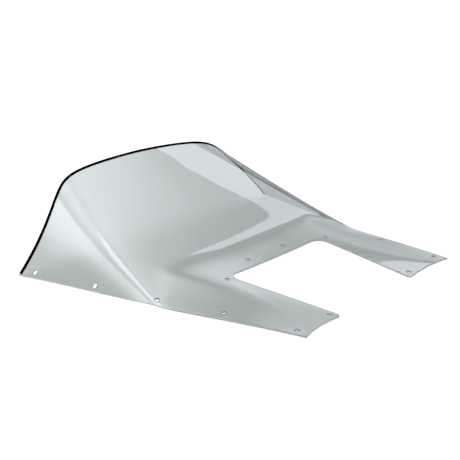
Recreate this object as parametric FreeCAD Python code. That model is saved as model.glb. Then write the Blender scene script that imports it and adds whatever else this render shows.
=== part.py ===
"""Snowmobile windshield screen: one thermoformed sheet and the edge moulding on its rear hoop.

The screen lies on a flat surface as it does on a bench. X is across the screen, +Y points to
its rear (towards the rider), +Z is up. While it is modelled, Y and Z are measured from the two
rear lower corners; place() then moves the origin to the middle of the footprint.

The outer skin is a height z = skin_height(x, y) made of four plain sheets that run into each
other softly: the raised top, the two side walls, the flat apron round the hood notch and the
gently twisted arms.
"""

import FreeCAD
import Part
import math
import os

# Sheet and moulding stock
SHEET = 3.0                 # thickness of the polycarbonate sheet
MOULDING_WALL = 1.0         # wall of the vinyl U-channel
MOULDING_GRIP = 2.8         # how far the channel's legs reach over the sheet
MOULDING_FIT = 0.05         # gap between a leg and the sheet
MOULDING_ROUND = 1.2        # rounding along the channel's two outer corners
MOULDING_END = 0.992        # where it stops, as a share of the way out to a rear corner
ADHESIVE = 0.3              # adhesive film in the bottom of the channel

# Outline seen from above
HALF_WIDTH = 310.0          # rear lower corner from the centre line
ARM_REACH = 471.0           # arm tip ahead of the rear corners
TIP_HALF_WIDTH = 199.0      # outer corner of an arm tip from the centre line
SIDE_BOW = 3.5              # how far each side edge bows inwards
NOTCH_Y = -267.0            # cross edge of the hood notch
NOTCH_HALF_WIDTH = 120.5    # half of the notch at its cross edge
TIP_INNER_HALF_WIDTH = 97.0     # inner corner of an arm tip from the centre line
TIP_INNER_Y = -459.5        # inner corner of an arm tip
NOTCH_RADIUS = 18.0         # rounding of the notch's two inner corners
TIP_RADIUS = 8.0            # rounding of the arm tips' inner corners
TIP_BOW = 4.5               # how far each arm tip's edge bows inwards

# Raised top sheet
TOP_HEIGHT = 141.2          # crown of the hoop above the rear corners
TOP_OVERHANG = 50.0         # how far the hoop leans back behind the rear corners
TOP_SLOPE = 0.51            # rise of the top sheet per mm towards the rear
TOP_SAG = 2.5               # hollow of the top sheet between its valley and the hoop
VALLEY_Y = -185.0           # where the top sheet leaves the apron
HOOP_BEND = 1 / 4500        # crosswise curvature of the top sheet at the hoop
VALLEY_BEND = -1 / 6000     # the same at the valley, where it is slightly hollow

# Side walls
WALL_SLOPE = 1.01           # rise of a wall per mm inwards, about 45 degrees
WALL_LIFT = 2.0             # lets the walls meet the side edge in spite of the soft blends
SIDE_SAG = 4.2              # sag of the side edge between its ends
TIP_LIFT = 7.0              # outer corner of an arm tip above the rear corners
WALL_END_Y = -211.0         # the walls run out into the arms here
WALL_FADE = 0.09            # how quickly they lift clear of the arms ahead of that
WALL_FADE_SOFTNESS = 20.0

# Apron and arms
FOLD_X = 155.0              # soft fold that runs along each arm
FOLD_Y = -255.0             # heights and slopes of the arms are given from here
FOLD_HEIGHT = 18.0
ARM_FALL = 0.0505           # fall of the fold per mm towards the tip
APRON_TILT = 0.041          # inward slope of the inner band beside the notch
TIP_TILT = 0.131            # the same at the arm tip
ARM_SIDE_SLOPE = 0.208      # outward slope of the outer band beside the notch
TIP_SIDE_SLOPE = -0.009     # the same at the arm tip
TIP_Y = -459.0

# Softness of the joins between the sheets
VALLEY_BLEND = 7.0
FOLD_BLEND = 4.0
SHOULDER_BLEND = 23.0       # at the hoop
WALL_END_BLEND = 8.0        # where the walls run out

# Mounting holes: (distance ahead of the rear corners, inset from the edge seen from above)
HOLE_DIAMETER = 8.0
WALL_HOLES = ((24, 7), (132, 7))                # square to the side walls
SIDE_HOLES = ((236, 10), (338, 17), (450, 12))  # upright, like all those below
ARM_HOLES = ((275, 11), (448, 13))              # beside the notch
NOTCH_HOLE_X = 46.0
NOTCH_HOLE_INSET = 21.0                         # from the notch's cross edge

# Fineness of the skin, as points across and points from front to rear, and of the moulding
ACROSS = 61
ALONG = 57
HOOP_STATIONS = 57


def soft_min(a, b, blend):
    """The lower of two heights, with a rounded join as wide as the blend."""
    return (a + b - math.hypot(a - b, blend)) / 2


def soft_max(a, b, blend):
    """The higher of two heights, with a rounded join as wide as the blend."""
    return (a + b + math.hypot(a - b, blend)) / 2


def between(start, end, share):
    """The value at a share of the way from start to end."""
    return start + (end - start) * share


def side_edge_x(y):
    """Distance of the side edge from the centre line."""
    share = -y / ARM_REACH
    return between(HALF_WIDTH, TIP_HALF_WIDTH, share) - 4 * SIDE_BOW * share * (1 - share)


def side_edge_z(y):
    """Height of the side edge: it rises a little to the arm tip and sags on the way."""
    middle = TIP_Y / 2
    share = max(-1.0, min(1.0, (y - middle) / middle))
    return TIP_LIFT * -y / ARM_REACH - SIDE_SAG * (1 + math.cos(math.pi * share)) / 2


def top_sheet(x, y):
    """Raised top: a slope up to the hoop, crowned crosswise."""
    share = (TOP_OVERHANG - y) / (TOP_OVERHANG - VALLEY_Y)
    bend = between(HOOP_BEND, VALLEY_BEND, share)
    slope = TOP_HEIGHT - TOP_SLOPE * (TOP_OVERHANG - y)
    return slope - bend * x * x / 2 - 4 * TOP_SAG * share * (1 - share)


def wall_sheet(x, y):
    """Side wall: rises inwards from the side edge and ends ahead of the valley."""
    ahead = WALL_END_Y - y
    fade = WALL_FADE * (math.hypot(ahead, WALL_FADE_SOFTNESS) + ahead) / 2
    return side_edge_z(y) + WALL_LIFT + WALL_SLOPE * (side_edge_x(y) - x) + fade


def inner_band(x, y):
    """Apron behind the notch and the inner half of each arm."""
    share = (FOLD_Y - y) / (FOLD_Y - TIP_Y)
    tilt = between(APRON_TILT, TIP_TILT, share)
    fold = FOLD_HEIGHT - ARM_FALL * (FOLD_Y - y)
    return fold - tilt * (FOLD_X ** 2 - x * x) / (2 * FOLD_X)


def outer_band(x, y):
    """Outer half of each arm, down to the side edge."""
    share = (FOLD_Y - y) / (FOLD_Y - TIP_Y)
    slope = between(ARM_SIDE_SLOPE, TIP_SIDE_SLOPE, share)
    return side_edge_z(y) + WALL_LIFT + slope * (side_edge_x(y) - x)


def skin_height(x, y):
    """Height of the outer skin."""
    x = abs(x)
    arms = soft_min(inner_band(x, y), outer_band(x, y), FOLD_BLEND)
    raised = soft_max(arms, top_sheet(x, y), VALLEY_BLEND)
    share = max(0.0, (y - WALL_END_Y) / -WALL_END_Y)
    blend = between(WALL_END_BLEND, SHOULDER_BLEND, share)
    return soft_min(raised, wall_sheet(x, y), blend)


def skin_point(x, y):
    return FreeCAD.Vector(x, y, skin_height(x, y))


def skin_normal(x, y):
    """Unit normal of the outer skin, pointing up."""
    step = 0.5
    across = skin_point(x + step, y) - skin_point(x - step, y)
    along = skin_point(x, y + step) - skin_point(x, y - step)
    return across.cross(along).normalize()


def hoop_y(side):
    """Where the hoop edge lies, for side = -1 to 1 from one rear corner to the other.

    The hoop leans back as a parabola of its height, so its place and height are found together.
    """
    y = 0.0
    for _ in range(30):
        height = max(0.0, skin_height(side * side_edge_x(y), y))
        y = (y + TOP_OVERHANG * (height / TOP_HEIGHT) ** 2) / 2
    return y


def skin_face(rise):
    """The skin moved out by a rise, from just ahead of the arm tips to the hoop."""
    front = -ARM_REACH - 2 * SHEET
    rows = []
    for i in range(ACROSS):
        side = -1 + 2 * i / (ACROSS - 1)
        rear = hoop_y(side)
        row = []
        for j in range(ALONG):
            y = between(front, rear, j / (ALONG - 1))
            x = side * side_edge_x(y)
            row.append(skin_point(x, y) + skin_normal(x, y) * rise)
        rows.append(row)
    surface = Part.BSplineSurface()
    surface.interpolate(rows)
    return surface.toShape()


def make_blank():
    """The formed sheet before its front is cut out, with its edges square to the skin."""
    top = skin_face(0)
    bottom = skin_face(-SHEET)
    sides = [Part.makeRuledSurface(a, b) for a, b in zip(top.Edges, bottom.Edges)]
    return Part.makeSolid(Part.makeShell([top, bottom] + sides))


def polyline(points):
    return [Part.makeLine(a, b) for a, b in zip(points, points[1:])]


def tip_edge(turn, z):
    """The bowed edge of the arm tip on one side, from its inner to its outer corner."""
    middle_x = (TIP_INNER_HALF_WIDTH + TIP_HALF_WIDTH) / 2
    middle_y = (TIP_INNER_Y - ARM_REACH) / 2 + TIP_BOW
    places = [
        (TIP_INNER_HALF_WIDTH, TIP_INNER_Y),
        (middle_x, middle_y),
        (TIP_HALF_WIDTH, -ARM_REACH),
    ]
    return Part.Arc(*[FreeCAD.Vector(turn * x, y, z) for x, y in places]).toShape()


def outline_prism():
    """The screen's front outline as a tall prism: wide at the sides and rear, cut at the front."""
    clear = 40.0
    right = [
        (TIP_HALF_WIDTH, -ARM_REACH),
        (TIP_HALF_WIDTH + clear, -ARM_REACH),
        (HALF_WIDTH + clear, TOP_OVERHANG + clear),
    ]
    notch = [(TIP_INNER_HALF_WIDTH, TIP_INNER_Y), (NOTCH_HALF_WIDTH, NOTCH_Y)]
    edges = []
    for half in (right, notch):
        places = half + [(-x, y) for x, y in reversed(half)]
        edges += polyline([FreeCAD.Vector(x, y, -clear) for x, y in places])
    edges += [tip_edge(turn, -clear) for turn in (-1, 1)]
    face = Part.Face(Part.Wire(Part.sortEdges(edges)[0]))
    prism = face.extrude(FreeCAD.Vector(0, 0, TOP_HEIGHT + 2 * clear))
    prism = prism.makeFillet(NOTCH_RADIUS, upright_edges(prism, NOTCH_HALF_WIDTH, NOTCH_Y))
    return prism.makeFillet(TIP_RADIUS, upright_edges(prism, TIP_INNER_HALF_WIDTH, TIP_INNER_Y))


def upright_edges(prism, x, y):
    """The prism's two upright edges at (x, y) and (-x, y)."""
    found = []
    for edge in prism.Edges:
        low, high = [vertex.Point for vertex in edge.Vertexes]
        upright = math.hypot(low.x - high.x, low.y - high.y) < 0.01
        if upright and math.hypot(abs(low.x) - x, low.y - y) < 0.01:
            found.append(edge)
    return found


def side_place(ahead, inset):
    """Plan position of a hole near the +X side edge."""
    return side_edge_x(-ahead) - inset, -ahead


def arm_place(ahead, inset):
    """Plan position of a hole near the notch edge of the +X arm."""
    share = (NOTCH_Y + ahead) / (NOTCH_Y - TIP_INNER_Y)
    return between(NOTCH_HALF_WIDTH, TIP_INNER_HALF_WIDTH, share) + inset, -ahead


def upright_places():
    """Plan positions of the upright holes on the +X side."""
    places = [side_place(*hole) for hole in SIDE_HOLES]
    places += [arm_place(*hole) for hole in ARM_HOLES]
    places.append((NOTCH_HOLE_X, NOTCH_Y + NOTCH_HOLE_INSET))
    return places


def drill(x, y, direction):
    """A cutter through the sheet at (x, y)."""
    reach = 3 * SHEET
    start = skin_point(x, y) - direction * reach
    return Part.makeCylinder(HOLE_DIAMETER / 2, 2 * reach, start, direction)


def drills():
    """The cutters of all the mounting holes."""
    cutters = []
    for turn in (-1, 1):
        for x, y in [side_place(*hole) for hole in WALL_HOLES]:
            cutters.append(drill(turn * x, y, skin_normal(turn * x, y)))
        for x, y in upright_places():
            cutters.append(drill(turn * x, y, FreeCAD.Vector(0, 0, 1)))
    return cutters


def make_screen():
    """The clear sheet: formed blank, front outline and drilled holes."""
    screen = make_blank().common(outline_prism())
    for cutter in drills():
        screen = screen.cut(cutter)
    return screen


def hoop_frame(side):
    """A point on the hoop edge, the direction out of the sheet there and the skin's normal."""
    step = 0.002
    ends = []
    for place_along in (side - step, side + step):
        y = hoop_y(place_along)
        ends.append(skin_point(place_along * side_edge_x(y), y))
    y = hoop_y(side)
    x = side * side_edge_x(y)
    normal = skin_normal(x, y)
    outward = normal.cross(ends[1] - ends[0]).normalize()
    return skin_point(x, y), outward, normal


def along_hoop(profile):
    """A solid with one profile all along the hoop: profile(to_space) gives its edges."""
    wires = []
    for i in range(HOOP_STATIONS):
        side = MOULDING_END * (-1 + 2 * i / (HOOP_STATIONS - 1))
        point, outward, normal = hoop_frame(side)
        wires.append(Part.Wire(profile(lambda out, up: point + outward * out + normal * up)))
    return Part.makeLoft(wires, True)


def adhesive_profile(to_space):
    corners = [(0, 0), (ADHESIVE, 0), (ADHESIVE, -SHEET), (0, -SHEET), (0, 0)]
    return polyline([to_space(out, up) for out, up in corners])


def moulding_profile(to_space):
    """The U-channel's section: two legs on the sheet and a rounded back."""
    top = MOULDING_FIT + MOULDING_WALL
    bottom = -SHEET - top
    back = ADHESIVE + MOULDING_WALL
    turn = back - MOULDING_ROUND
    bulge = MOULDING_ROUND * math.sqrt(0.5)
    inside = [
        (turn, bottom),
        (-MOULDING_GRIP, bottom),
        (-MOULDING_GRIP, -SHEET - MOULDING_FIT),
        (ADHESIVE, -SHEET - MOULDING_FIT),
        (ADHESIVE, MOULDING_FIT),
        (-MOULDING_GRIP, MOULDING_FIT),
        (-MOULDING_GRIP, top),
        (turn, top),
    ]
    upper = [(turn, top), (turn + bulge, top - MOULDING_ROUND + bulge), (back, top - MOULDING_ROUND)]
    lower = [(out, -SHEET - up) for out, up in reversed(upper)]
    edges = polyline([to_space(out, up) for out, up in inside])
    edges.append(Part.Arc(*[to_space(out, up) for out, up in upper]).toShape())
    edges += polyline([to_space(out, up) for out, up in (upper[-1], lower[0])])
    edges.append(Part.Arc(*[to_space(out, up) for out, up in lower]).toShape())
    return edges


def place(parts):
    """Moves the origin to the middle of the footprint, on the surface that the screen lies on."""
    box = Part.makeCompound(list(parts.values())).optimalBoundingBox(False, False)
    home = FreeCAD.Vector(-box.Center.x, -box.Center.y, -box.ZMin)
    for shape in parts.values():
        shape.translate(home)


parts = {
    "screen": make_screen(),
    "edge_moulding": along_hoop(moulding_profile),
    "moulding_adhesive": along_hoop(adhesive_profile),
}
place(parts)
os.makedirs("parts", exist_ok=True)
for name, shape in parts.items():
    shape.exportStep("parts/" + name + ".step")
    box = shape.optimalBoundingBox(False, False)
    print(name, "valid", shape.isValid(), "solids", len(shape.Solids), "volume", round(shape.Volume))
    print("   ", box)
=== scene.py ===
"""Looks of the snowmobile windshield screen: tinted clear sheet, black edge moulding, soft studio.

The sheet and the moulding are remade here as smooth meshes on the same formula as the CAD
part, because a glossy sheet shows every facet. Shapes are worked out in millimetres from the two
rear lower corners, as the part is designed; add_piece() turns them into metres in the row frame.
"""

import math

import bmesh
import bpy
import numpy as np
from mathutils import Matrix, Vector
from mathutils.geometry import delaunay_2d_cdt


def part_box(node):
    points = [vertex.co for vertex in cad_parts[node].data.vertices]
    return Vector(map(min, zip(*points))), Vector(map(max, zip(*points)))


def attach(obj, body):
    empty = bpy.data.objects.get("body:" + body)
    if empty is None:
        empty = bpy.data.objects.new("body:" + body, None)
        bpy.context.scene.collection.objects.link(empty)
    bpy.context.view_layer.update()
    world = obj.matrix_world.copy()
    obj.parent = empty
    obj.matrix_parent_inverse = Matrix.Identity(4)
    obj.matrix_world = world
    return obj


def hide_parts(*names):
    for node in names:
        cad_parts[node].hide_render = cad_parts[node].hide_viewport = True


MM = 0.001

# Sheet and moulding stock
SHEET = 3.0                 # thickness of the polycarbonate sheet
EDGE_ROUND = 0.7            # smoothed corners of the sheet's cut edges
HOLE_ROUND = 0.3            # light chamfer of the drilled holes
MOULDING_WALL = 1.0         # wall of the vinyl U-channel
MOULDING_GRIP = 2.8         # how far the channel's legs reach over the sheet
MOULDING_FIT = 0.05         # gap between a leg and the sheet
MOULDING_BACK_ROUND = 1.2   # rounding along the channel's two outer corners
MOULDING_LIP_ROUND = 0.4    # rounding of its legs' ends
MOULDING_INNER_ROUND = 0.15     # rounding in the bottom of the channel
MOULDING_END = 0.992        # where it stops, as a share of the way out to a rear corner
ADHESIVE = 0.3              # adhesive film in the bottom of the channel

# Outline seen from above
HALF_WIDTH = 310.0          # rear lower corner from the centre line
ARM_REACH = 471.0           # arm tip ahead of the rear corners
TIP_HALF_WIDTH = 199.0      # outer corner of an arm tip from the centre line
SIDE_BOW = 3.5              # how far each side edge bows inwards
NOTCH_Y = -267.0            # cross edge of the hood notch
NOTCH_HALF_WIDTH = 120.5    # half of the notch at its cross edge
TIP_INNER_HALF_WIDTH = 97.0     # inner corner of an arm tip from the centre line
TIP_INNER_Y = -459.5        # inner corner of an arm tip
NOTCH_RADIUS = 18.0         # rounding of the notch's two inner corners
TIP_RADIUS = 8.0            # rounding of the arm tips' inner corners
TIP_BOW = 4.5               # how far each arm tip's edge bows inwards

# Raised top sheet
TOP_HEIGHT = 141.2          # crown of the hoop above the rear corners
TOP_OVERHANG = 50.0         # how far the hoop leans back behind the rear corners
TOP_SLOPE = 0.51            # rise of the top sheet per mm towards the rear
TOP_SAG = 2.5               # hollow of the top sheet between its valley and the hoop
VALLEY_Y = -185.0           # where the top sheet leaves the apron
HOOP_BEND = 1 / 4500        # crosswise curvature of the top sheet at the hoop
VALLEY_BEND = -1 / 6000     # the same at the valley, where it is slightly hollow

# Side walls
WALL_SLOPE = 1.01           # rise of a wall per mm inwards, about 45 degrees
WALL_LIFT = 2.0             # lets the walls meet the side edge in spite of the soft blends
SIDE_SAG = 4.2              # sag of the side edge between its ends
TIP_LIFT = 7.0              # outer corner of an arm tip above the rear corners
WALL_END_Y = -211.0         # the walls run out into the arms here
WALL_FADE = 0.09            # how quickly they lift clear of the arms ahead of that
WALL_FADE_SOFTNESS = 20.0

# Apron and arms
FOLD_X = 155.0              # soft fold that runs along each arm
FOLD_Y = -255.0             # heights and slopes of the arms are given from here
FOLD_HEIGHT = 18.0
ARM_FALL = 0.0505           # fall of the fold per mm towards the tip
APRON_TILT = 0.041          # inward slope of the inner band beside the notch
TIP_TILT = 0.131            # the same at the arm tip
ARM_SIDE_SLOPE = 0.208      # outward slope of the outer band beside the notch
TIP_SIDE_SLOPE = -0.009     # the same at the arm tip
TIP_Y = -459.0

# Softness of the joins: two sheets are rounded into each other where their heights differ by less
VALLEY_BLEND = 7.0
FOLD_BLEND = 4.0
SHOULDER_BLEND = 23.0       # at the hoop
WALL_END_BLEND = 8.0        # where the walls run out

# Mounting holes: (distance ahead of the rear corners, inset from the edge seen from above)
HOLE_RADIUS = 4.0
WALL_HOLES = ((24, 7), (132, 7))                # square to the side walls
SIDE_HOLES = ((236, 10), (338, 17), (450, 12))  # upright, like all those below
ARM_HOLES = ((275, 11), (448, 13))              # beside the notch
NOTCH_HOLE_X = 46.0
NOTCH_HOLE_INSET = 21.0                         # from the notch's cross edge

# Fineness of the meshes
GRID = 3.5                  # spacing of the sheet's points
GRID_CLEAR = 2.2            # how far they stay from a cut edge
EDGE_STEP = 4.0             # spacing along the straight cut edges
ARC_STEPS = 8               # in each rounded corner of an outline
HOOP_STATIONS = 240         # along the hoop
HOLE_STATIONS = 36          # round each hole
ROUND_ANGLES = (30, 60, 90)     # degrees round a cut edge's smoothed corner
SLOPE_STEP = 0.5            # half the run over which the skin's slope is measured
HOOP_STEP = 0.002           # half the run over which the hoop's direction is measured
HOOP_ROUNDS = 30            # rounds that settle the hoop's place and height together
SAME_PLACE = 1e-7           # points closer than this count as one
JOIN_ANGLE = 25             # degrees: neighbouring triangles within this become one quad

# Camera, in metres and degrees
CAMERA_PLACE = (-1.0302, -0.8335, 0.4932)
CAMERA_HEADING = 49.65      # turn from +Y towards +X
CAMERA_PITCH = 18.576       # below the horizon
CAMERA_ROLL = -0.696        # about the line of sight
CAMERA_LENS = 66.06         # millimetres, on a sensor 36 mm wide

# Studio, in metres and degrees: headings turn from +Y towards +X
SOFTBOX_COLOUR = (1.0, 0.95, 1.07)      # white with a little less green and more blue
SOFTBOXES = (               # name, heading, elevation, distance, size, turn, radiance
    ("side_softbox", 72, 35, 1.6, (0.60, 0.25), 30, 1.75),
    ("near_softbox", -42, 65, 0.75, (0.26, 0.12), -39, 2.6),
)
FLOOR_HALF = 30.0           # from the object to each side of the floor
FLOOR_GAP = 0.0002          # between the floor and the object's lowest point
WALL_COLOUR = (1.0, 0.97, 1.05)         # of the walls and the ceiling
WALL_FOOT = 0.63            # light of the studio walls at the floor
WALL_LIGHT = 0.95           # at their tops
CEILING_LIGHT = 0.24        # light of the ceiling all over
HORIZON_LIGHT = 0.42        # what the white floor adds to the foot of the walls
HORIZON = 0.12              # height of a direction, from 0 to 1, where that has faded out
WALL_TOP = (0.41, 0.47)     # heights of a direction between which wall turns to ceiling
GLOWS = (                   # heading, elevation, radius, strength in the middle
    (47.5, 68.7, 34.0, 1.85),
    (48.5, 24.8, 8.0, 0.9),
    (-38.5, 53.5, 8.8, 3.6),
    (60.0, 54.0, 16.0, 0.9),
    (-14.0, 67.0, 27.0, 1.7),
)


# ---- Shape of the skin ----

def soft_min(a, b, blend):
    """The lower of two heights, rounded where they differ by less than about the blend."""
    return (a + b - np.hypot(a - b, blend)) / 2


def soft_max(a, b, blend):
    """The higher of two heights, rounded where they differ by less than about the blend."""
    return (a + b + np.hypot(a - b, blend)) / 2


def between(start, end, share):
    """The value at a share of the way from start to end."""
    return start + (end - start) * share


def side_edge_x(y):
    """Distance of the side edge from the centre line."""
    share = -y / ARM_REACH
    return between(HALF_WIDTH, TIP_HALF_WIDTH, share) - 4 * SIDE_BOW * share * (1 - share)


def side_edge_z(y):
    """Height of the side edge: it rises a little to the arm tip and sags on the way."""
    middle = TIP_Y / 2
    share = np.clip((y - middle) / middle, -1, 1)
    return TIP_LIFT * -y / ARM_REACH - SIDE_SAG * (1 + np.cos(math.pi * share)) / 2


def top_sheet(x, y):
    """The raised top: crowned at the hoop, slightly hollow at the valley, sagging between them."""
    share = (TOP_OVERHANG - y) / (TOP_OVERHANG - VALLEY_Y)
    bend = between(HOOP_BEND, VALLEY_BEND, share)
    slope = TOP_HEIGHT - TOP_SLOPE * (TOP_OVERHANG - y)
    return slope - bend * x * x / 2 - 4 * TOP_SAG * share * (1 - share)


def wall_sheet(x, y):
    """A side wall, rising inwards from the side edge and lifted clear of the arm ahead."""
    ahead = WALL_END_Y - y
    fade = WALL_FADE * (np.hypot(ahead, WALL_FADE_SOFTNESS) + ahead) / 2
    return side_edge_z(y) + WALL_LIFT + WALL_SLOPE * (side_edge_x(y) - x) + fade


def inner_band(x, y):
    """The apron and the inner side of the arms, dished between the two folds."""
    share = (FOLD_Y - y) / (FOLD_Y - TIP_Y)
    tilt = between(APRON_TILT, TIP_TILT, share)
    fold = FOLD_HEIGHT - ARM_FALL * (FOLD_Y - y)
    return fold - tilt * (FOLD_X ** 2 - x * x) / (2 * FOLD_X)


def outer_band(x, y):
    """The outer side of an arm, sloping from the side edge to the fold."""
    share = (FOLD_Y - y) / (FOLD_Y - TIP_Y)
    slope = between(ARM_SIDE_SLOPE, TIP_SIDE_SLOPE, share)
    return side_edge_z(y) + WALL_LIFT + slope * (side_edge_x(y) - x)


def skin_height(x, y):
    """Height of the outer skin, for arrays of places."""
    x = np.abs(x)
    arms = soft_min(inner_band(x, y), outer_band(x, y), FOLD_BLEND)
    raised = soft_max(arms, top_sheet(x, y), VALLEY_BLEND)
    share = np.maximum(0, (y - WALL_END_Y) / -WALL_END_Y)
    blend = between(WALL_END_BLEND, SHOULDER_BLEND, share)
    return soft_min(raised, wall_sheet(x, y), blend)


def skin_points(plan):
    """Points on the outer skin over places seen from above."""
    return np.column_stack([plan, skin_height(plan[:, 0], plan[:, 1])])


def unit(vectors):
    """The same directions with length 1."""
    return vectors / np.linalg.norm(vectors, axis=-1, keepdims=True)


def skin_normals(plan):
    """Unit normals of the outer skin, pointing up."""
    step = SLOPE_STEP
    x, y = plan[:, 0], plan[:, 1]
    fall_x = (skin_height(x - step, y) - skin_height(x + step, y)) / (2 * step)
    fall_y = (skin_height(x, y - step) - skin_height(x, y + step)) / (2 * step)
    return unit(np.column_stack([fall_x, fall_y, np.ones(len(plan))]))


def hoop_y(side):
    """Where the hoop edge lies, for side = -1 to 1 from one rear corner to the other.

    The hoop leans back as a parabola of its height, so its place and height are found together.
    """
    y = np.zeros(len(side))
    for _ in range(HOOP_ROUNDS):
        height = np.maximum(0, skin_height(side * side_edge_x(y), y))
        y = (y + TOP_OVERHANG * (height / TOP_HEIGHT) ** 2) / 2
    return y


def hoop_plan(side):
    """Places on the hoop edge, seen from above."""
    y = hoop_y(side)
    return np.column_stack([side * side_edge_x(y), y])


# ---- Outlines ----

def rounded(corners, radii, step):
    """Points along an open path with its inner corners rounded and its runs cut into steps."""
    corners = [np.array(corner, float) for corner in corners]
    pieces = [corners[0][None]]
    for before, corner, after, radius in zip(corners, corners[1:], corners[2:], radii):
        into = unit(corner - before)
        out_of = unit(after - corner)
        cross = into[0] * out_of[1] - into[1] * out_of[0]
        turn = math.atan2(cross, into @ out_of)
        start = corner - into * radius * math.tan(abs(turn) / 2)
        left = np.array([-into[1], into[0]]) * math.copysign(1, turn)
        angles = np.linspace(0, abs(turn), ARC_STEPS + 1)[:, None]
        arc = start + radius * (np.sin(angles) * into + (1 - np.cos(angles)) * left)
        pieces += [run(pieces[-1][-1], start, step), arc]
    pieces.append(run(pieces[-1][-1], corners[-1], step))
    return np.vstack(pieces)


def run(start, end, step):
    """Evenly spaced points between start and end, without either of them."""
    count = max(2, round(np.linalg.norm(end - start) / step) + 1)
    return np.linspace(start, end, count)[1:-1]


def side_edge():
    """The +X side edge from the arm tip to just short of the rear corner."""
    y = np.linspace(-ARM_REACH, 0, round(ARM_REACH / EDGE_STEP))[:-1]
    return np.column_stack([side_edge_x(y), y])


def front_edge():
    """Arm tips and notch from the -X arm tip to the +X one, without the two outer corners."""
    half = [
        (-TIP_HALF_WIDTH, -ARM_REACH),
        (-TIP_INNER_HALF_WIDTH, TIP_INNER_Y),
        (-NOTCH_HALF_WIDTH, NOTCH_Y),
    ]
    corners = half + [(-x, y) for x, y in reversed(half)]
    radii = (TIP_RADIUS, NOTCH_RADIUS, NOTCH_RADIUS, TIP_RADIUS)
    return bowed(rounded(corners, radii, EDGE_STEP)[1:])


def bowed(plan):
    """Bows the edges of the arm tips inwards."""
    tip_width = TIP_HALF_WIDTH - TIP_INNER_HALF_WIDTH
    share = np.clip((np.abs(plan[:, 0]) - TIP_INNER_HALF_WIDTH) / tip_width, 0, 1)
    at_tip = plan[:, 1] < TIP_INNER_Y + TIP_RADIUS
    back = np.where(at_tip, 4 * TIP_BOW * share * (1 - share), 0)
    return plan + np.column_stack([np.zeros(len(plan)), back])


def outline():
    """The sheet's edge seen from above, anticlockwise, and where it is cut square to the skin."""
    right = side_edge()
    hoop = hoop_plan(np.linspace(1, -1, HOOP_STATIONS))
    left = right[::-1] * (-1, 1)
    front = front_edge()
    plan = np.vstack([right, hoop, left, front])
    square = np.arange(len(plan)) < len(plan) - len(front)
    return plan, square


def side_place(ahead, inset):
    """A hole's place beside the side edge."""
    return side_edge_x(-ahead) - inset, -ahead


def arm_place(ahead, inset):
    """A hole's place beside the inner edge of an arm."""
    share = (NOTCH_Y + ahead) / (NOTCH_Y - TIP_INNER_Y)
    return between(NOTCH_HALF_WIDTH, TIP_INNER_HALF_WIDTH, share) + inset, -ahead


def hole(x, y, square):
    """A drilled hole's edge seen from above, clockwise, square to the skin or upright."""
    centre = np.array([[x, y]], float)
    normal = skin_normals(centre)[0] if square else np.array([0.0, 0.0, 1.0])
    across = unit(np.cross([0.0, 1.0, 0.0], normal))
    along = np.cross(normal, across)
    angles = np.linspace(0, -2 * math.pi, HOLE_STATIONS, endpoint=False)[:, None]
    ring = HOLE_RADIUS * (np.cos(angles) * across + np.sin(angles) * along)
    return centre + ring[:, :2], np.full(HOLE_STATIONS, square)


def holes():
    """The edges of all sixteen holes, the same on both sides."""
    places = [(side_place(*place), True) for place in WALL_HOLES]
    places += [(side_place(*place), False) for place in SIDE_HOLES]
    places += [(arm_place(*place), False) for place in ARM_HOLES]
    places.append(((NOTCH_HOLE_X, NOTCH_Y + NOTCH_HOLE_INSET), False))
    return [hole(turn * x, y, square) for turn in (-1, 1) for (x, y), square in places]


# ---- Sheet mesh ----

def rim(plan, square, radius):
    """Rings round a cut edge, from the outer skin to the inner one, with their normals.

    Returns the rings, their normals and the places seen from above of the first and last ring.
    """
    outer = skin_points(plan)
    normal = skin_normals(plan)
    inner_plan = np.where(square[:, None], plan, plan + normal[:, :2] * SHEET)
    inner = skin_points(inner_plan) - skin_normals(inner_plan) * SHEET
    along = np.roll(outer, -1, 0) - np.roll(outer, 1, 0)
    down = unit(inner - outer)
    out = unit(np.cross(down, along))
    first = plan - out[:, :2] * radius
    last = inner_plan - out[:, :2] * radius
    rings = [skin_points(first)]
    normals = [normal]
    for corner, turn, angles in ((outer, 1, ROUND_ANGLES), (inner, -1, ROUND_ANGLES[::-1])):
        for angle in np.radians(angles):
            inwards = radius * (1 - math.sin(angle))
            deep = turn * radius * (1 - math.cos(angle))
            rings.append(corner - out * inwards + down * deep)
            normals.append(out * math.sin(angle) + normal * math.cos(angle) * turn)
    rings.append(skin_points(last) - skin_normals(last) * SHEET)
    normals.append(-normal)
    return rings, normals, first, last


def inside(places, loops):
    """Which places lie inside the outline and outside the holes, by counting crossings."""
    odd = np.zeros(len(places), bool)
    x, y = places[:, 0], places[:, 1]
    for loop in loops:
        for (ax, ay), (bx, by) in zip(loop, np.roll(loop, -1, 0)):
            if ay == by:
                continue
            crosses = ((ay > y) != (by > y)) & (x < ax + (bx - ax) * (y - ay) / (by - ay))
            odd ^= crosses
    return odd


def seeds(loops):
    """An even grid of places inside the outline, clear of every cut edge."""
    columns = np.arange(-HALF_WIDTH + GRID / 2, HALF_WIDTH, GRID)
    rows = np.arange(-ARM_REACH, TOP_OVERHANG, GRID)
    grid = np.array([(x, y) for y in rows for x in columns])
    grid = grid[inside(grid, loops)]
    clear = np.ones(len(grid), bool)
    for point in np.vstack(loops):
        clear &= np.hypot(grid[:, 0] - point[0], grid[:, 1] - point[1]) > GRID_CLEAR
    return grid[clear]


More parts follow.
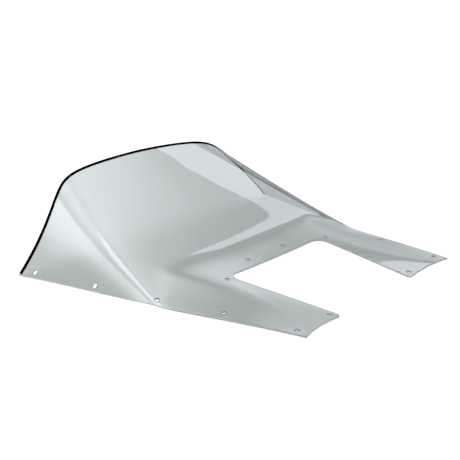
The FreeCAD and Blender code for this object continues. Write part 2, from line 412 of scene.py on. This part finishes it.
def fill(loops, points):
    """Triangles over the loops' places and the points, as rows of three indices."""
    places = np.vstack(loops + [points])
    edges = []
    start = 0
    for loop in loops:
        count = len(loop)
        edges += [(start + i, start + (i + 1) % count) for i in range(count)]
        start += count
    corners = [Vector(place) for place in places]
    _, _, triangles, sources, _, _ = delaunay_2d_cdt(corners, edges, [], 0, SAME_PLACE)
    faces = np.array([[sources[i][0] for i in triangle] for triangle in triangles])
    middles = places[faces].mean(1)
    return faces[inside(middles, loops)]


def bands(start, levels, count):
    """Quads between rings of count points each, numbered ring after ring from start."""
    faces = []
    for here in range(start, start + (levels - 1) * count, count):
        for i in range(count):
            j = (i + 1) % count
            faces.append((here + i, here + count + i, here + count + j, here + j))
    return faces


def skin_sheet(loops, turn):
    """The outer skin (turn 1) or the inner one (turn -1) between the cut edges.

    Returns its points, their normals and the triangles over the loops' places and the points.
    """
    plan = seeds(loops)
    points = skin_points(plan)
    normals = skin_normals(plan)
    if turn < 0:
        points = points - normals * SHEET
    return points, normals * turn, fill(loops, plan)[:, ::turn]


def sheet_mesh():
    """The whole sheet: its cut edges, and the outer and inner skins between them."""
    rims = [rim(*outline(), EDGE_ROUND)]
    rims += [rim(*edge, HOLE_ROUND) for edge in holes()]
    vertices, normals, faces, cut = [], [], [], []
    first_rings, last_rings = [], []
    total = 0
    for rings, ring_normals, _, _ in rims:
        levels, count = len(rings), len(rings[0])
        vertices += rings
        normals += ring_normals
        cut += [np.full(count, float(0 < level < levels - 1)) for level in range(levels)]
        faces += bands(total, levels, count)
        first_rings.append(total + np.arange(count))
        total += levels * count
        last_rings.append(total - count + np.arange(count))
    outer_loops = [first for _, _, first, _ in rims]
    inner_loops = [last for _, _, _, last in rims]
    for turn, rings, loops in ((1, first_rings, outer_loops), (-1, last_rings, inner_loops)):
        points, point_normals, triangles = skin_sheet(loops, turn)
        numbers = np.concatenate(rings + [total + np.arange(len(points))])
        vertices.append(points)
        normals.append(point_normals)
        cut.append(np.zeros(len(points)))
        faces += [tuple(face) for face in numbers[triangles]]
        total += len(points)
    return np.vstack(vertices), np.vstack(normals), faces, np.concatenate(cut)


# ---- Moulding mesh ----

def moulding_section():
    """The U-channel's section with rounded corners, closed from its last point to its first.

    Each point is (distance out of the sheet, distance along the skin's normal).
    """
    top = MOULDING_FIT + MOULDING_WALL
    back = ADHESIVE + MOULDING_WALL
    middle = -SHEET / 2
    half = [
        ((ADHESIVE, middle), None),
        ((ADHESIVE, MOULDING_FIT), MOULDING_INNER_ROUND),
        ((-MOULDING_GRIP, MOULDING_FIT), MOULDING_LIP_ROUND),
        ((-MOULDING_GRIP, top), MOULDING_LIP_ROUND),
        ((back, top), MOULDING_BACK_ROUND),
    ]
    corners = [corner for corner, _ in half] + [(x, -SHEET - y) for (x, y), _ in reversed(half)]
    radii = [radius for _, radius in half[1:]]
    return rounded(corners, radii + radii[::-1], SHEET)


def closed_normals(section):
    """Unit normals at the points of a closed section, pointing out of it."""
    edge = np.roll(section, -1, 0) - section
    outwards = np.column_stack([-edge[:, 1], edge[:, 0]])
    return unit(outwards + np.roll(outwards, 1, 0))


def moulding_mesh():
    """The section carried along the hoop, with flat cut ends."""
    section = moulding_section()
    section_normals = closed_normals(section)
    steps = np.linalg.norm(np.diff(section, axis=0), axis=1)
    around = np.concatenate([[0], np.cumsum(steps)])
    side = MOULDING_END * np.linspace(-1, 1, HOOP_STATIONS)
    plan = hoop_plan(side)
    point = skin_points(plan)
    normal = skin_normals(plan)
    along = skin_points(hoop_plan(side + HOOP_STEP)) - skin_points(hoop_plan(side - HOOP_STEP))
    outward = unit(np.cross(normal, along))
    count = len(section)
    vertices, normals = [], []
    for i in range(HOOP_STATIONS):
        axes = np.array([outward[i], normal[i]])
        vertices.append(point[i] + section @ axes)
        normals.append(section_normals @ axes)
    faces = [(a, d, c, b) for a, b, c, d in bands(0, HOOP_STATIONS, count)]
    total = HOOP_STATIONS * count
    marks = list(np.tile(around, HOOP_STATIONS))
    for i, turn in ((0, -1), (HOOP_STATIONS - 1, 1)):
        vertices.append(vertices[i])
        normals.append(np.tile(unit(along[i]) * turn, (count, 1)))
        faces.append(tuple(range(total, total + count))[::turn])
        marks += list(around)
        total += count
    return np.vstack(vertices), np.vstack(normals), faces, np.array(marks)


def add_piece(name, built, mark_name, shift):
    """A mesh object from points, normals, faces and one number per point, moved by the shift."""
    vertices, normals, faces, marks = built
    places = [tuple(vertex) for vertex in (vertices + shift) * MM]
    mesh = bpy.data.meshes.new(name)
    mesh.from_pydata(places, [], [tuple(map(int, face)) for face in faces])
    marks_layer = mesh.attributes.new(mark_name, "FLOAT", "POINT")
    marks_layer.data.foreach_set("value", marks.astype(np.float32))
    quads = bmesh.new()
    quads.from_mesh(mesh)
    flat = math.radians(JOIN_ANGLE)
    bmesh.ops.join_triangles(
        quads, faces=quads.faces, angle_face_threshold=flat, angle_shape_threshold=flat
    )
    quads.to_mesh(mesh)
    quads.free()
    mesh.shade_smooth()
    mesh.normals_split_custom_set_from_vertices([tuple(normal) for normal in normals])
    piece = bpy.data.objects.new(name, mesh)
    bpy.context.scene.collection.objects.link(piece)
    return piece


# ---- Materials ----

def new_material(name):
    """A material with its nodes, its links and its main shader."""
    material = bpy.data.materials.new(name)
    material.use_nodes = True
    nodes = material.node_tree.nodes
    return material, nodes, material.node_tree.links, nodes["Principled BSDF"]


def attribute(nodes, name):
    """The number that each point of the mesh carries under this name."""
    lookup = nodes.new("ShaderNodeAttribute")
    lookup.attribute_name = name
    return lookup.outputs["Fac"]


def noise(nodes, links, scale, detail, coordinate=None):
    """A noise texture in object coordinates, or along one given number."""
    texture = nodes.new("ShaderNodeTexNoise")
    texture.inputs["Scale"].default_value = scale
    texture.inputs["Detail"].default_value = detail
    if coordinate:
        texture.noise_dimensions = "1D"
        links.new(coordinate, texture.inputs["W"])
    else:
        place = nodes.new("ShaderNodeTexCoord")
        links.new(place.outputs["Object"], texture.inputs["Vector"])
    return texture.outputs["Fac"]


def ease(nodes, links, source, start, end, shape="SMOOTHSTEP"):
    """Carries a number from start, given as (number, result), to end, and no further."""
    curve = nodes.new("ShaderNodeMapRange")
    curve.interpolation_type = shape
    curve.inputs["From Min"].default_value, curve.inputs["To Min"].default_value = start
    curve.inputs["From Max"].default_value, curve.inputs["To Max"].default_value = end
    links.new(source, curve.inputs["Value"])
    return curve.outputs["Result"]


def spread(nodes, links, source, low, high):
    """Carries a noise value, mostly 0.3 to 0.7, evenly to the range low to high."""
    return ease(nodes, links, source, (0.3, low), (0.7, high), "LINEAR")


def mix(nodes, links, share, source, number):
    """The source where share is 0, and the plain number where it is 1."""
    blend = nodes.new("ShaderNodeMix")
    links.new(share, blend.inputs["Factor"])
    links.new(source, blend.inputs["A"])
    blend.inputs["B"].default_value = number
    return blend.outputs["Result"]


def bump(nodes, links, height, distance, before=None):
    """Relief from a noise value, as deep as the distance in metres, on top of another one."""
    relief = nodes.new("ShaderNodeBump")
    relief.inputs["Strength"].default_value = 1.0
    relief.inputs["Distance"].default_value = distance
    links.new(height, relief.inputs["Height"])
    if before:
        links.new(before, relief.inputs["Normal"])
    return relief.outputs["Normal"]


def tinted_sheet():
    """Smoke-tinted polycarbonate: polished, faintly wavy from forming, matt where it was cut."""
    material, nodes, links, shader = new_material("tinted_polycarbonate")
    shader.inputs["Base Color"].default_value = (1.0, 1.0, 1.0, 1.0)
    shader.inputs["IOR"].default_value = 1.585
    cut_edge = attribute(nodes, "cut_edge")
    polish = noise(nodes, links, scale=14.0, detail=3.0)
    polish = spread(nodes, links, polish, low=0.015, high=0.05)
    roughness = mix(nodes, links, cut_edge, polish, number=0.45)
    links.new(roughness, shader.inputs["Roughness"])
    clearness = ease(nodes, links, cut_edge, start=(0.0, 1.0), end=(1.0, 0.62))
    links.new(clearness, shader.inputs["Transmission Weight"])
    waves = noise(nodes, links, scale=9.0, detail=1.0)
    waves = bump(nodes, links, waves, distance=0.0006)
    grain = noise(nodes, links, scale=160.0, detail=2.0)
    links.new(bump(nodes, links, grain, 0.0000012, waves), shader.inputs["Normal"])
    # About half of the light passes through 3 mm of this tint.
    tint = nodes.new("ShaderNodeVolumeAbsorption")
    tint.inputs["Color"].default_value = (0.380, 0.466, 0.437, 1.0)
    tint.inputs["Density"].default_value = 400.0
    links.new(tint.outputs["Volume"], nodes["Material Output"].inputs["Volume"])
    return material


def black_vinyl():
    """Glossy black extrusion with fine draw lines along it."""
    material, nodes, links, shader = new_material("black_vinyl")
    shader.inputs["Base Color"].default_value = (0.024, 0.026, 0.027, 1.0)
    shader.inputs["IOR"].default_value = 1.53
    gloss = noise(nodes, links, scale=60.0, detail=4.0)
    links.new(spread(nodes, links, gloss, low=0.16, high=0.32), shader.inputs["Roughness"])
    waves = noise(nodes, links, scale=35.0, detail=2.0)
    waves = bump(nodes, links, waves, distance=0.0002)
    lines = noise(nodes, links, scale=2.2, detail=4.0, coordinate=attribute(nodes, "around"))
    links.new(bump(nodes, links, lines, 0.00004, waves), shader.inputs["Normal"])
    return material


def cured_adhesive():
    """Dark flexible adhesive, slightly uneven."""
    material, nodes, links, shader = new_material("cured_adhesive")
    shader.inputs["Base Color"].default_value = (0.05, 0.05, 0.05, 1.0)
    gloss = noise(nodes, links, scale=400.0, detail=3.0)
    links.new(spread(nodes, links, gloss, low=0.3, high=0.55), shader.inputs["Roughness"])
    grain = noise(nodes, links, scale=700.0, detail=2.0)
    links.new(bump(nodes, links, grain, distance=0.00005), shader.inputs["Normal"])
    return material


def pale_floor():
    """Plain white studio floor, which glows so that it stays white far away."""
    material, _, _, shader = new_material("studio_floor")
    shader.inputs["Base Color"].default_value = (0.4, 0.4, 0.4, 1.0)
    shader.inputs["Roughness"].default_value = 1.0
    shader.inputs["Specular IOR Level"].default_value = 0.0
    shader.inputs["Emission Color"].default_value = (1.0, 1.0, 1.0, 1.0)
    shader.inputs["Emission Strength"].default_value = 0.92
    return material


# ---- Studio ----

def direction(heading, elevation):
    """Unit vector for a heading turned from +Y towards +X and an elevation, in degrees."""
    heading, elevation = math.radians(heading), math.radians(elevation)
    level = math.cos(elevation)
    return Vector((math.sin(heading) * level, math.cos(heading) * level, math.sin(elevation)))


def softbox(name, heading, elevation, distance, size, turn, radiance):
    """A rectangular area light that faces the object, turned about its own axis."""
    light = bpy.data.lights.new(name, "AREA")
    light.shape = "RECTANGLE"
    light.size, light.size_y = size
    light.energy = radiance * math.pi * size[0] * size[1]
    light.color = SOFTBOX_COLOUR
    lamp = bpy.data.objects.new(name, light)
    away = direction(heading, elevation)
    facing = away.to_track_quat("Z", "Y").to_matrix().to_4x4()
    turned = facing @ Matrix.Rotation(math.radians(turn), 4, "Z")
    lamp.matrix_world = Matrix.Translation(away * distance) @ turned
    bpy.context.scene.collection.objects.link(lamp)


def add(nodes, links, a, b):
    """The sum of two numbers."""
    total = nodes.new("ShaderNodeMath")
    total.operation = "ADD"
    links.new(a, total.inputs[0])
    links.new(b, total.inputs[1])
    return total.outputs["Value"]


def glow(nodes, links, view, heading, elevation, radius, strength):
    """A soft round glow in the studio, such as a lamp makes on a white wall or ceiling."""
    towards = nodes.new("ShaderNodeVectorMath")
    towards.operation = "DOT_PRODUCT"
    towards.inputs[1].default_value = direction(heading, elevation)
    links.new(view, towards.inputs[0])
    edge = math.cos(math.radians(radius))
    return ease(nodes, links, towards.outputs["Value"], start=(edge, 0.0), end=(1.0, strength))


def studio_world():
    """White studio walls up to a height all round, a darker ceiling, and soft glows on both."""
    world = bpy.data.worlds.new("studio")
    bpy.context.scene.world = world
    world.use_nodes = True
    nodes = world.node_tree.nodes
    links = world.node_tree.links
    view = nodes.new("ShaderNodeTexCoord").outputs["Generated"]
    split = nodes.new("ShaderNodeSeparateXYZ")
    links.new(view, split.inputs["Vector"])
    height = split.outputs["Z"]
    wall_top, ceiling_start = WALL_TOP
    walls = ease(nodes, links, height, (0.0, WALL_FOOT), (wall_top, WALL_LIGHT))
    drop = CEILING_LIGHT - WALL_LIGHT
    ceiling = ease(nodes, links, height, (wall_top, 0.0), (ceiling_start, drop))
    horizon = ease(nodes, links, height, (0.0, HORIZON_LIGHT), (HORIZON, 0.0))
    light = add(nodes, links, add(nodes, links, walls, ceiling), horizon)
    for place in GLOWS:
        light = add(nodes, links, light, glow(nodes, links, view, *place))
    nodes["Background"].inputs["Color"].default_value = (*WALL_COLOUR, 1.0)
    links.new(light, nodes["Background"].inputs["Strength"])


def studio_floor(low):
    """A wide floor just under the object's lowest point."""
    half = FLOOR_HALF
    corners = [(-half, -half, 0), (half, -half, 0), (half, half, 0), (-half, half, 0)]
    mesh = bpy.data.meshes.new("floor")
    mesh.from_pydata(corners, [], [(0, 1, 2, 3)])
    floor = bpy.data.objects.new("floor", mesh)
    floor.location.z = low - FLOOR_GAP
    bpy.context.scene.collection.objects.link(floor)
    mesh.materials.append(pale_floor())


def camera():
    """The camera at the photograph's place and angle."""
    forward = direction(CAMERA_HEADING, -CAMERA_PITCH)
    level = forward.cross(Vector((0, 0, 1))).normalized()
    upright = level.cross(forward)
    facing = Matrix((level, upright, -forward)).transposed().to_4x4()
    data = bpy.data.cameras.new("camera")
    data.lens = CAMERA_LENS
    rolled = facing @ Matrix.Rotation(math.radians(-CAMERA_ROLL), 4, "Z")
    view = bpy.data.objects.new("camera", data)
    view.matrix_world = Matrix.Translation(CAMERA_PLACE) @ rolled
    bpy.context.scene.collection.objects.link(view)
    bpy.context.scene.camera = view


# ---- Everything together ----

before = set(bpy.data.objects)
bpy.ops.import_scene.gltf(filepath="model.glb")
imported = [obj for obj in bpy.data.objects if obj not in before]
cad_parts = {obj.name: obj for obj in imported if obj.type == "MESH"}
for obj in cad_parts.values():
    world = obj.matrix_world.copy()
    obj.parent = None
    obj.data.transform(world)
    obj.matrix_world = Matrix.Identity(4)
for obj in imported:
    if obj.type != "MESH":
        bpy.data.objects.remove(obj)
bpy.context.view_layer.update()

screen_low, screen_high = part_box("screen")
hoop_top = skin_points(hoop_plan(np.zeros(1)))[0]
shift = np.array([0.0, screen_low.y / MM + ARM_REACH, screen_high.z / MM - hoop_top[2]])

sheet = add_piece("formed_sheet", sheet_mesh(), "cut_edge", shift)
sheet.data.materials.append(tinted_sheet())
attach(sheet, "root")
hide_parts("screen")

moulding = add_piece("hoop_moulding", moulding_mesh(), "around", shift)
moulding.data.materials.append(black_vinyl())
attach(moulding, "root")
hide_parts("edge_moulding")

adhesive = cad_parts["moulding_adhesive"]
adhesive_finish = cured_adhesive()
for slot in adhesive.material_slots:
    slot.material = adhesive_finish

studio_floor(screen_low.z)
studio_world()
for box in SOFTBOXES:
    softbox(*box)
camera()
bpy.context.scene.view_settings.view_transform = "Standard"
